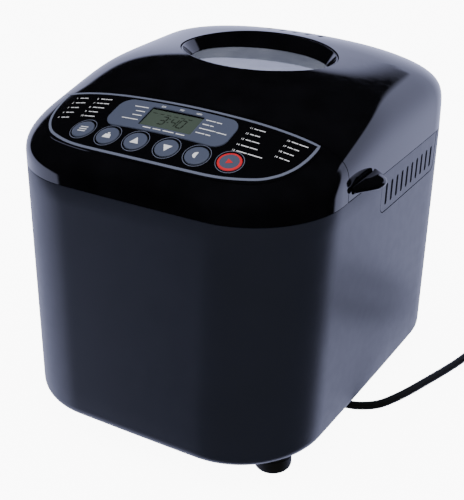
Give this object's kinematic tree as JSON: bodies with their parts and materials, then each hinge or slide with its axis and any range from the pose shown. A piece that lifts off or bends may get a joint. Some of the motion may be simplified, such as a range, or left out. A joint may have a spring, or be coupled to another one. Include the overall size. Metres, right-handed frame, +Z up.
{
  "type": "bread machine",
  "caption": "Countertop bread machine: tapered housing on rubber feet, gloss console with buttons, hinged domed lid with an oval window, pan and kneading drive inside.",
  "frame": {"origin": "middle of the body's footprint on the surface it stands on, under its feet", "axes": "+Z up, -Y to the front with the controls, +X to the side that the cord leaves by, +Y to the lid hinge"},
  "size_m": [0.4119, 0.3565, 0.2795],
  "materials": {
    "satin_housing": "satin moulded ABS",
    "gloss_abs": "high gloss black ABS",
    "black_plastic": "moulded black plastic",
    "grey_plastic": "blue-grey plastic",
    "red_button": "red plastic",
    "display": "olive grey liquid crystal display",
    "black_rubber": "black rubber",
    "glass": "clear toughened glass",
    "steel": "satin steel",
    "aluminium": "pressed aluminium",
    "non_stick": "dark non-stick coating",
    "bronze": "sintered bronze",
    "circuit_board": "green circuit board"
  },
  "bodies": {
    "root": {"base_plate": "black_plastic", "bearing_housing": "aluminium", "chassis_plate": "steel", "control_board": "circuit_board", "control_overlay": "gloss_abs", "cord_coil": "black_rubber", "display_bezel": "grey_plastic", "drive_belt": "black_rubber", "foot_front_left": "black_rubber", "foot_front_right": "black_rubber", "foot_rear_left": "black_rubber", "foot_rear_right": "black_rubber", "front_console": "gloss_abs", "heating_element": "steel", "hinge_rod": "steel", "lcd_display": "display", "motor_body": "steel", "outer_housing": "satin_housing", "oven_chamber": "aluminium", "pan_socket": "steel", "power_board": "circuit_board", "power_cord": "black_rubber", "power_cord_tail": "black_rubber", "power_plug": "black_rubber", "rear_hinge_base": "black_plastic", "shaft_bush": "bronze", "strain_relief": "black_rubber", "temperature_sensor": "steel", "top_deck": "black_plastic", "vent_grille_left": "satin_housing", "vent_grille_right": "satin_housing"},
    "lid": {"lid_cover": "gloss_abs", "window_rim": "gloss_abs", "window_glass": "glass", "lid_liner": "aluminium", "lid_gasket": "black_rubber", "lid_tab_right": "gloss_abs", "lid_tab_left": "gloss_abs", "lid_hinge_right": "black_plastic", "lid_hinge_left": "black_plastic"},
    "pan": {"bread_pan": "non_stick", "pan_foot": "aluminium", "pan_bush": "bronze"},
    "pan_handle": {"pan_handle": "steel"},
    "paddle": {"pan_shaft": "steel", "kneading_paddle": "non_stick"},
    "drive": {"drive_shaft": "steel", "drive_coupling": "steel", "drive_pulley": "black_plastic"},
    "motor": {"motor_shaft": "steel", "motor_pulley": "steel", "motor_fan": "black_plastic"},
    "button_menu": {"button_menu": "grey_plastic"},
    "button_weight": {"button_weight": "grey_plastic"},
    "button_up": {"button_up": "grey_plastic"},
    "button_down": {"button_down": "grey_plastic"},
    "button_colour": {"button_colour": "grey_plastic"},
    "button_start": {"button_start": "red_button"}
  },
  "joints": [
    {"name": "lid_hinge", "type": "hinge", "parent": "root", "child": "lid", "pos_m": [0, 0.14705, 0.2215], "axis": [-1, 0, 0], "range_deg": [0, 80]},
    {"name": "pan_twist", "type": "hinge", "parent": "root", "child": "pan", "pos_m": [0, 0.02502, 0.084], "axis": [0, 0, 1], "range_deg": [0, 8]},
    {"name": "pan_handle_swing", "type": "hinge", "parent": "pan", "child": "pan_handle", "pos_m": [0, 0.02502, 0.188], "axis": [-1, 0, 0], "range_deg": [0, 180]},
    {"name": "drive_spin", "type": "hinge", "parent": "root", "child": "drive", "pos_m": [0, 0.02502, 0.038], "axis": [0, 0, 1], "continuous": true},
    {"name": "paddle_spin", "type": "hinge", "parent": "pan", "child": "paddle", "pos_m": [0, 0.02502, 0.084], "axis": [0, 0, 1], "continuous": true},
    {"name": "motor_spin", "type": "hinge", "parent": "root", "child": "motor", "pos_m": [-0.035, -0.1, 0.038], "axis": [0, 0, 1], "continuous": true},
    {"name": "press_menu", "type": "slide", "parent": "root", "child": "button_menu", "axis": [0.0981, 0.3406, -0.9351], "range_m": [0, 0.0008], "stiffness_N_per_m": 800, "springref_m": -0.0004},
    {"name": "press_weight", "type": "slide", "parent": "root", "child": "button_weight", "axis": [0.0467, 0.3581, -0.9325], "range_m": [0, 0.0008], "stiffness_N_per_m": 800, "springref_m": -0.0004},
    {"name": "press_up", "type": "slide", "parent": "root", "child": "button_up", "axis": [0.0162, 0.3619, -0.9321], "range_m": [0, 0.0008], "stiffness_N_per_m": 800, "springref_m": -0.0004},
    {"name": "press_down", "type": "slide", "parent": "root", "child": "button_down", "axis": [-0.0162, 0.3619, -0.9321], "range_m": [0, 0.0008], "stiffness_N_per_m": 800, "springref_m": -0.0004},
    {"name": "press_colour", "type": "slide", "parent": "root", "child": "button_colour", "axis": [-0.0467, 0.3581, -0.9325], "range_m": [0, 0.0008], "stiffness_N_per_m": 800, "springref_m": -0.0004},
    {"name": "press_start", "type": "slide", "parent": "root", "child": "button_start", "axis": [-0.0981, 0.3406, -0.9351], "range_m": [0, 0.0008], "stiffness_N_per_m": 800, "springref_m": -0.0004}
  ],
  "couplings": [
    {"joint": "drive_spin", "follows": "motor_spin", "ratio": 0.2457},
    {"joint": "paddle_spin", "follows": "motor_spin", "ratio": 0.2457}
  ]
}
